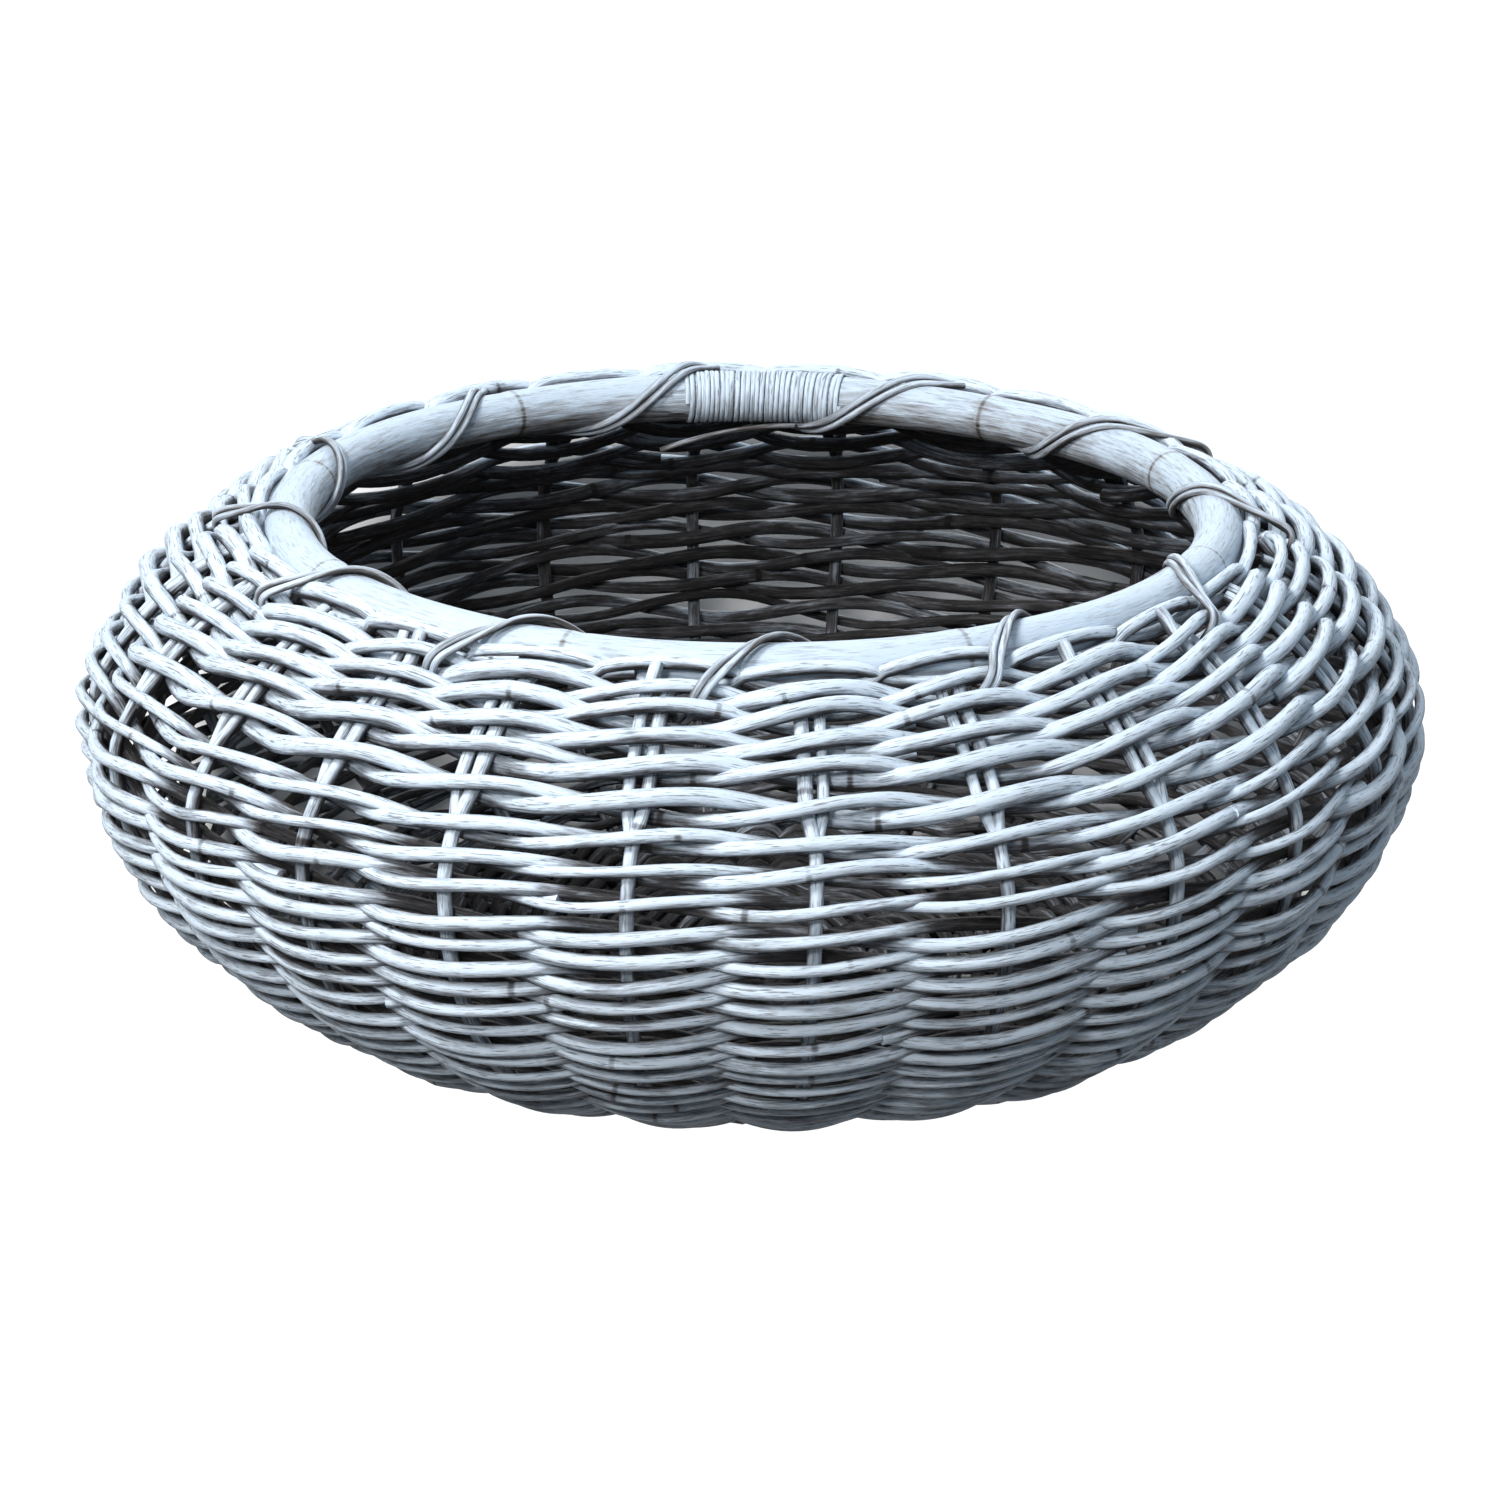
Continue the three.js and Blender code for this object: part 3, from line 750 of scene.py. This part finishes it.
def baseRow(radius):
    outer = radius > base["stakesFrom"]
    # posts that the row passes: the stick ends, and further out the stakes too
    posts = [base["spokeAngle"] * spoke for spoke in range(12)]
    if outer:
        posts += [firstStakeAngle % (2 * math.pi) + spacing * index for index in range(wall["stakes"])]
    posts = sorted(angle % (2 * math.pi) for angle in posts)
    count = len(posts)
    spread = np.array(posts + [posts[0] + 2 * math.pi])
    perPost = base["outerPoints" if outer else "innerPoints"]
    rods = []
    for strand in (0, 1):
        start = chance.randrange(count) + 0.5
        k = np.arange(start, start + count + 0.4, 1 / perPost)
        whole = np.floor(k / count) * 2 * math.pi
        angle = np.interp(k % count, np.arange(count + 1), spread) + whole
        turn = math.pi * (k + strand)
        away = radius + base["climbShare"] * base["weaverDiameter"] * np.sin(turn)
        away = away + wobble(k, base["jitter"])
        swing = base["swing"] * np.cos(turn)
        swing = swing * (1 - 0.5 * smoothStep(start + count - 0.1, start + count + 0.4, k))
        path = around(np.column_stack([away, base["middle"] - swing]), angle)
        rod = makeRod(path, np.tile((0, 0, -1.0), (len(path), 1)), base["weaverDiameter"] / 2)
        # painted shade on the base weave
        rod["bleachAndShade"] *= base["bleachAndShade"]
        rods.append(rod)
    return rods


baseRods = []
for radius in np.linspace(base["firstRow"], base["lastRow"], base["rows"]):
    baseRods += baseRow(radius)
makePiece("baseWeave", baseRods, base["sides"], weaverWash, ["base_weave"])
print("base woven")

# Rim pole: one thick rod bent to a hoop, its ends scarfed together at the back.

pole = {
    "diameter": 21.6 * mm,
    "gap": 0.3 * mm,
    "sink": 2.1 * mm,
    "points": 288,
    "sides": 28,
    "scarf": 64 * mm,
    "scarfReach": 60 * mm,
    "wobble": 0.5 * mm,
    "ringSwell": 0.035,         # the pole is thicker at a growth ring and thinner beside it
    "ringReach": 5 * mm,
    "ringWaist": 0.03,
    "waistAway": 6 * mm,
    "waistReach": 2.6 * mm,
    "knuckles": [-2.62, -1.93, -1.12, -0.31, 0.42, 1.02, 2.18, 2.93],    # angles of the growth rings
}
crownCentre, crownForward, crownOutward = (row[0] for row in wallStation(wallLength))
poleCentre = crownCentre + crownForward * (pole["diameter"] / 2 + pole["gap"]) - crownOutward * pole["sink"]


def poleLine(angle):
    # the hoop is a little uneven, but true at its joint
    free = 1 - np.exp(-angleFrom(angle, jointAngle) ** 2 / 0.3 ** 2)
    away = pole["wobble"] * free * (np.sin(3 * angle + 0.7) + 0.6 * np.sin(7 * angle + 2))
    high = 0.7 * pole["wobble"] * free * (np.sin(2 * angle + 1.9) + 0.6 * np.sin(5 * angle))
    return np.stack([poleCentre[0] + away, poleCentre[1] + high], axis=1)


def buildPole():
    angle = jointAngle + np.linspace(0, 2 * math.pi, pole["points"], endpoint=False)
    path = around(poleLine(angle), angle)
    radii = np.full(len(angle), pole["diameter"] / 2)
    radii *= 1 + 0.012 * np.sin(4 * angle + 1) + 0.008 * np.sin(11 * angle)
    for ring in pole["knuckles"]:
        away = angleFrom(angle, ring) * poleCentre[0]
        swell = pole["ringSwell"] * np.exp(-(away / pole["ringReach"]) ** 2)
        waist = pole["ringWaist"] * np.exp(-((away - pole["waistAway"]) / pole["waistReach"]) ** 2)
        radii *= 1 + swell - waist
    facing = np.tile((0.35, 0.94), (len(angle), 1))     # the pole is painted paler on its top and outer side and darker underneath, as painted light and shade
    rod = makeRod(path, around(facing, angle), radii, closed=True)
    rod["lump"] = 0.0
    for ring in pole["knuckles"]:
        rod["rings"][np.argmin(np.abs(angleFrom(angle, ring)))] = 1
    piece = makePiece("rimPole", [rod], pole["sides"], poleWash, ["rim_pole"])
    cutScarf(piece)


def cutScarf(piece):
    # the slanting cut between the pole's two ends, hidden under the binding
    shape = bmesh.new()
    shape.from_mesh(piece.data)
    slope = math.atan(pole["diameter"] / pole["scarf"])
    near = []
    for face in shape.faces:
        middle = face.calc_center_median()
        if middle.y > 0 and abs(middle.x) < pole["scarfReach"]:
            near.append(face)
    edges = list({edge for face in near for edge in face.edges})
    part = near + edges + list({vert for face in near for vert in face.verts})
    cut = bmesh.ops.bisect_plane(shape, geom=part, plane_co=(0, poleCentre[0], poleCentre[1]),
                                 plane_no=(-math.sin(slope), math.cos(slope), 0))
    edges = [item for item in cut["geom_cut"] if isinstance(item, bmesh.types.BMEdge)]
    bmesh.ops.split_edges(shape, edges=edges)
    bmesh.ops.holes_fill(shape, edges=[edge for edge in shape.edges if edge.is_boundary], sides=0)
    bmesh.ops.recalc_face_normals(shape, faces=shape.faces)
    shape.to_mesh(piece.data)
    shape.free()


buildPole()
print("pole bent")

# Binding: fine cane, close wound over the scarf.

binding = {
    "turns": 31,
    "width": 2.35 * mm,
    "thickness": 1.3 * mm,
    "pitch": 2.45 * mm,
    "gap": 0.2 * mm,
    "slip": 0.35 * mm,      # how far the turns stray along the pole
    "rise": 0.15 * mm,      # and away from it
    "clear": 0.3 * mm,      # between the binding and the canes over it
    "points": 20,
    "sides": 8,
}


def polePoint(radius, turn, angle):
    # a place round the pole's own line, and its direction away from that line
    away = np.stack([np.cos(turn), np.sin(turn)], axis=1)
    return around(poleLine(angle) + away * np.reshape(radius, (-1, 1)), angle), around(away, angle)


def buildBinding():
    count = binding["turns"] * binding["points"]
    step = np.arange(count + 1)
    half = binding["turns"] * binding["pitch"] / 2 / poleCentre[0]
    angle = jointAngle + half * (2 * step / count - 1)
    crossing = wobble(step / binding["points"] * 0.8, binding["slip"]) / poleCentre[0]
    turn = math.pi + 2 * math.pi * step / binding["points"]
    radius = (pole["diameter"] + binding["thickness"]) / 2 + binding["gap"]
    radius = radius + binding["rise"] * np.sin(step * 0.11)
    path, outwards = polePoint(radius, turn, angle + crossing)
    rod = makeRod(path, outwards, binding["width"] / 2, flat=binding["thickness"] / binding["width"])
    makePiece("jointBinding", [rod], binding["sides"], bindingWash, ["pole_joint_binding"])
    return half


bindingHalfAngle = buildBinding()
bindingOuter = pole["diameter"] / 2 + binding["thickness"] + binding["clear"]

# Lashing: a doubled cane wound through the wall and over the pole.

lashing = {
    "turns": 12,
    "diameter": 3.4 * mm,
    "flat": 0.86,
    "pairSpacing": 3.9 * mm,
    "slit": 4.4 * mm,
    "borderLength": 18 * mm,
    "outerReach": 8.2 * mm,
    "innerReach": 8.2 * mm,
    "driftShare": 0.28,
    "phase": math.radians(60),
    "step": 1.5 * mm,
    "ease": 14,                 # rounds of easing
    "easeRise": 0.5 * mm,       # what the easing takes off the turn round the pole
    "liftReach": 12 * mm,       # over which the cane rises on to the binding
    "lingering": 0.09,          # the cane moves on most while it crosses the pole, least in the slit
    "cornerPoints": 24,
    "loopPoints": 120,
    "sides": 12,
}


def lashLoop(poleReach):
    # the cane is drawn tight round the corners of what it holds
    start = wallLength - lashing["borderLength"]

    def corner(length, reach):
        centre, _, outward = wallStation(length)
        return centre[0] + outward[0] * reach

    posts = [
        (corner(start, lashing["outerReach"]), lashing["slit"] / 2),
        (poleCentre, poleReach + lashing["easeRise"]),
        (corner(start, -lashing["innerReach"]), lashing["slit"] / 2),
    ]
    facings = []
    for (here, radius), (there, nextRadius) in zip(posts, posts[1:] + posts[:1]):
        apart = there - here
        lean = math.acos((radius - nextRadius) / np.linalg.norm(apart))
        facings.append(math.atan2(apart[1], apart[0]) - lean)
    places = []
    for index, (at, radius) in enumerate(posts):
        begin = facings[index - 1]
        sweep = (facings[index] - begin) % (2 * math.pi)
        facing = begin + sweep * np.linspace(0, 1, lashing["cornerPoints"])
        places.append(at + radius * np.stack([np.cos(facing), np.sin(facing)], axis=1))
    places = np.vstack(places + [places[0][:1]])
    along = alongPath(places)
    share = np.linspace(0, 1, lashing["loopPoints"], endpoint=False)
    return np.stack([np.interp(share * along[-1], along, places[:, axis]) for axis in (0, 1)], axis=1), share


def evenRun(points, step):
    along = alongPath(points)
    at = np.arange(0, along[-1], step)
    return np.stack([np.interp(at, along, points[:, axis]) for axis in range(3)], axis=1)


def buildLashing():
    plain, share = lashLoop(pole["diameter"] / 2 + lashing["diameter"] / 2)
    raised, _ = lashLoop(bindingOuter + lashing["diameter"] / 2)
    points = []
    slope = lashing["liftReach"] / poleCentre[0]
    middle = crownCentre - crownForward * mm
    for turn in range(lashing["turns"]):
        onward = share - lashing["lingering"] * np.sin(2 * math.pi * share)
        full = 2 * math.pi * (turn + onward) / lashing["turns"]
        angle = jointAngle + full + lashing["driftShare"] * spacing * np.sin(full + lashing["phase"])
        off = np.abs(angleFrom(angle, jointAngle))
        lift = np.clip((bindingHalfAngle + 1.5 * slope - off) / slope, 0, 1)[:, None]
        points.append(around(plain + (raised - plain) * lift, angle))
    points = evenRun(np.vstack(points), lashing["step"])
    for _ in range(lashing["ease"]):
        points[1:-1] = (points[:-2] + 2 * points[1:-1] + points[2:]) / 4
    angle = np.arctan2(points[:, 1], points[:, 0])
    outwards = points - around(np.tile(middle, (len(points), 1)), angle)
    forward = np.gradient(points, axis=0)
    side = np.cross(outwards, forward)
    side /= np.linalg.norm(side, axis=1)[:, None]
    along = alongPath(points)
    canes = (("lashingFirst", "rim_lashing_first", -1), ("lashingSecond", "rim_lashing_second", 1))
    for name, node, hand in canes:
        # the two canes lie now closer together, now further apart
        stray = 0.10 * np.sin(along * 31 + hand) + 0.06 * np.sin(along * 83)
        apart = lashing["pairSpacing"] / 2 * (1 + stray)
        path = points + side * (hand * apart)[:, None]
        rod = makeRod(path, outwards, lashing["diameter"] / 2, flat=lashing["flat"])
        makePiece(name, [rod], lashing["sides"], caneWash, [node])


buildLashing()

# The cane's loose end, inside at the back.

tail = {
    "diameter": 2.6 * mm,
    "lead": 15 * mm,                # where it leaves the binding, from the joint
    "reach": 63 * mm,
    "drop": 12 * mm,
    "inset": 9 * mm,
    "seat": math.radians(-117),     # where it leaves the pole, round the pole
    # the loose end is painted darker, as painted shade
    "bleachAndShade": 0.4,
    "points": 24,
    "sides": 10,
}


def buildTail():
    angle = np.array([jointAngle - tail["lead"] / poleCentre[0]])
    start, _ = polePoint(bindingOuter + tail["diameter"] / 2, np.array([tail["seat"]]), angle)
    inward = around(np.array([[-1.0, 0]]), angle)[0]
    onward = -np.cross((0, 0, 1), inward)
    share = np.linspace(0, 1, tail["points"])[:, None]
    middle = start[0] + onward * tail["reach"] / 2 + inward * tail["inset"] / 2
    end = start[0] + onward * tail["reach"] + inward * tail["inset"] - np.array((0, 0, tail["drop"]))
    path = (1 - share) ** 2 * start[0] + 2 * (1 - share) * share * middle + share ** 2 * end
    rod = makeRod(path, np.tile(inward + np.array((0, 0, 0.6)), (len(path), 1)), tail["diameter"] / 2)
    # painted shade on the loose end
    rod["bleachAndShade"] *= tail["bleachAndShade"]
    makePiece("lashingTail", [rod], tail["sides"], caneWash, ["lashing_tail"])


buildTail()
print("rim lashed")

# Floor, light and camera.

studio = {
    "floorSize": 14,
    "floorSeen": (0.13, 0.13, 0.13),
    "floorGlow": 0.01,
    "floorBounce": (0.012, 0.012, 0.012),
    "skyTop": 0.64,             # the sky's light overhead and near the ground
    "skyLow": 0.08,
    "skyFrom": -0.1,            # the heights between which it goes from one to the other
    "skyFull": 0.9,
    "skyColour": (0.74, 0.87, 1.0),
    "lampAim": 0.12,            # the height that the lamps are turned to
    "rakePower": 86,            # a low lamp that lights the floor alone
    "rakeDistance": 4,
    "rakeSize": math.radians(5),
    "rakeHeight": math.radians(17.4),
    "rakeBearing": math.radians(-91),
}
# lamps on the basket alone: where each one stands, how wide it is and its power
lamps = {
    "keyLamp": {"place": (-1.5, -1.5, 2.5), "size": 0.8, "power": 75},
    "fillLamp": {"place": (-0.9, -2.4, 1.6), "size": 0.5, "power": 32},
    "backLamp": {"place": (0.5, 2.7, 1.5), "size": 0.8, "power": 34},
}


def cameraRays(tree):
    # 1 for rays that show the background itself
    path = tree.nodes.new("ShaderNodeLightPath")
    total = path.outputs["Is Camera Ray"]
    for name in ("Is Glossy Ray", "Is Transmission Ray"):
        node = tree.nodes.new("ShaderNodeMath")
        node.operation = "MAXIMUM"
        tree.links.new(total, node.inputs[0])
        tree.links.new(path.outputs[name], node.inputs[1])
        total = node.outputs[0]
    return total


def buildFloor():
    shape = bmesh.new()
    bmesh.ops.create_grid(shape, x_segments=1, y_segments=1, size=studio["floorSize"] / 2)
    mesh = bpy.data.meshes.new("floor")
    shape.to_mesh(mesh)
    shape.free()
    floor = bpy.data.objects.new("floor", mesh)
    bpy.context.scene.collection.objects.link(floor)
    material = bpy.data.materials.new("floorPaper")
    material.use_nodes = True
    tree = material.node_tree
    tree.nodes.clear()
    output = tree.nodes.new("ShaderNodeOutputMaterial")
    seen = tree.nodes.new("ShaderNodeBsdfDiffuse")
    seen.inputs["Color"].default_value = (*studio["floorSeen"], 1)
    glow = tree.nodes.new("ShaderNodeEmission")
    glow.inputs["Strength"].default_value = studio["floorGlow"]
    both = tree.nodes.new("ShaderNodeAddShader")
    tree.links.new(seen.outputs[0], both.inputs[0])
    tree.links.new(glow.outputs[0], both.inputs[1])
    bounce = tree.nodes.new("ShaderNodeBsdfDiffuse")
    bounce.inputs["Color"].default_value = (*studio["floorBounce"], 1)
    mix = tree.nodes.new("ShaderNodeMixShader")
    tree.links.new(cameraRays(tree), mix.inputs[0])
    tree.links.new(bounce.outputs[0], mix.inputs[1])
    tree.links.new(both.outputs[0], mix.inputs[2])
    tree.links.new(mix.outputs[0], output.inputs["Surface"])
    mesh.materials.append(material)
    return floor


def standLamp(name, data, place, toward):
    lamp = bpy.data.objects.new(name, data)
    bpy.context.scene.collection.objects.link(lamp)
    lamp.location = place
    lamp.rotation_euler = toward.to_track_quat("-Z", "Y").to_euler()
    return lamp


def buildLight(floor):
    world = bpy.data.worlds.new("studioSky")
    bpy.context.scene.world = world
    world.use_nodes = True
    tree = world.node_tree
    tree.nodes.clear()
    output = tree.nodes.new("ShaderNodeOutputWorld")
    direction = tree.nodes.new("ShaderNodeTexCoord")
    split = tree.nodes.new("ShaderNodeSeparateXYZ")
    tree.links.new(direction.outputs["Generated"], split.inputs[0])
    height = tree.nodes.new("ShaderNodeMapRange")
    height.interpolation_type = "SMOOTHSTEP"
    height.inputs["From Min"].default_value = studio["skyFrom"]
    height.inputs["From Max"].default_value = studio["skyFull"]
    height.inputs["To Min"].default_value = studio["skyLow"]
    height.inputs["To Max"].default_value = studio["skyTop"]
    tree.links.new(split.outputs["Z"], height.inputs["Value"])
    sky = tree.nodes.new("ShaderNodeBackground")
    sky.inputs["Color"].default_value = (*studio["skyColour"], 1)
    tree.links.new(height.outputs["Result"], sky.inputs["Strength"])
    white = tree.nodes.new("ShaderNodeBackground")
    white.inputs["Color"].default_value = (1, 1, 1, 1)
    white.inputs["Strength"].default_value = 1
    mix = tree.nodes.new("ShaderNodeMixShader")
    tree.links.new(cameraRays(tree), mix.inputs[0])
    tree.links.new(sky.outputs[0], mix.inputs[1])
    tree.links.new(white.outputs[0], mix.inputs[2])
    tree.links.new(mix.outputs[0], output.inputs["Surface"])

    unlit = bpy.data.collections.new("allButFloor")
    unlit.objects.link(floor)
    unlit.collection_objects[0].light_linking.link_state = "EXCLUDE"
    aim = Vector((0, 0, studio["lampAim"]))
    for name, lamp in lamps.items():
        data = bpy.data.lights.new(name, "AREA")
        data.shape = "DISK"
        data.size = lamp["size"]
        data.energy = lamp["power"]
        stood = standLamp(name, data, lamp["place"], aim - Vector(lamp["place"]))
        stood.light_linking.receiver_collection = unlit

    data = bpy.data.lights.new("floorLamp", "SUN")
    data.energy = studio["rakePower"]
    data.angle = studio["rakeSize"]
    low, bearing = studio["rakeHeight"], studio["rakeBearing"]
    stand = Vector((math.cos(low) * math.cos(bearing), math.cos(low) * math.sin(bearing), math.sin(low)))
    rake = standLamp("floorLamp", data, stand * studio["rakeDistance"], -stand)
    lit = bpy.data.collections.new("floorAlone")
    lit.objects.link(floor)
    rake.light_linking.receiver_collection = lit


view = {
    "distance": 2.633,
    "elevation": 0.3343,
    "bearing": math.radians(-90) + 0.0245,      # where the camera stands, seen from above
    "aim": (-0.0003, 0, 0.1116),
    "lens": 141.2,
    "roll": 0.0099,
}


def buildCamera():
    data = bpy.data.cameras.new("photoCamera")
    data.lens = view["lens"]
    data.sensor_width = 36
    data.clip_end = 60
    camera = bpy.data.objects.new("photoCamera", data)
    bpy.context.scene.collection.objects.link(camera)
    flat = view["distance"] * math.cos(view["elevation"])
    stand = Vector((flat * math.cos(view["bearing"]), flat * math.sin(view["bearing"]),
                    view["distance"] * math.sin(view["elevation"])))
    aim = Vector(view["aim"])
    turn = (-stand).to_track_quat("-Z", "Y").to_matrix().to_4x4()
    camera.matrix_world = Matrix.Translation(aim + stand) @ turn @ Matrix.Rotation(view["roll"], 4, "Z")
    bpy.context.scene.camera = camera


buildLight(buildFloor())
buildCamera()
bpy.context.scene.view_settings.view_transform = "Standard"
print("studio set")
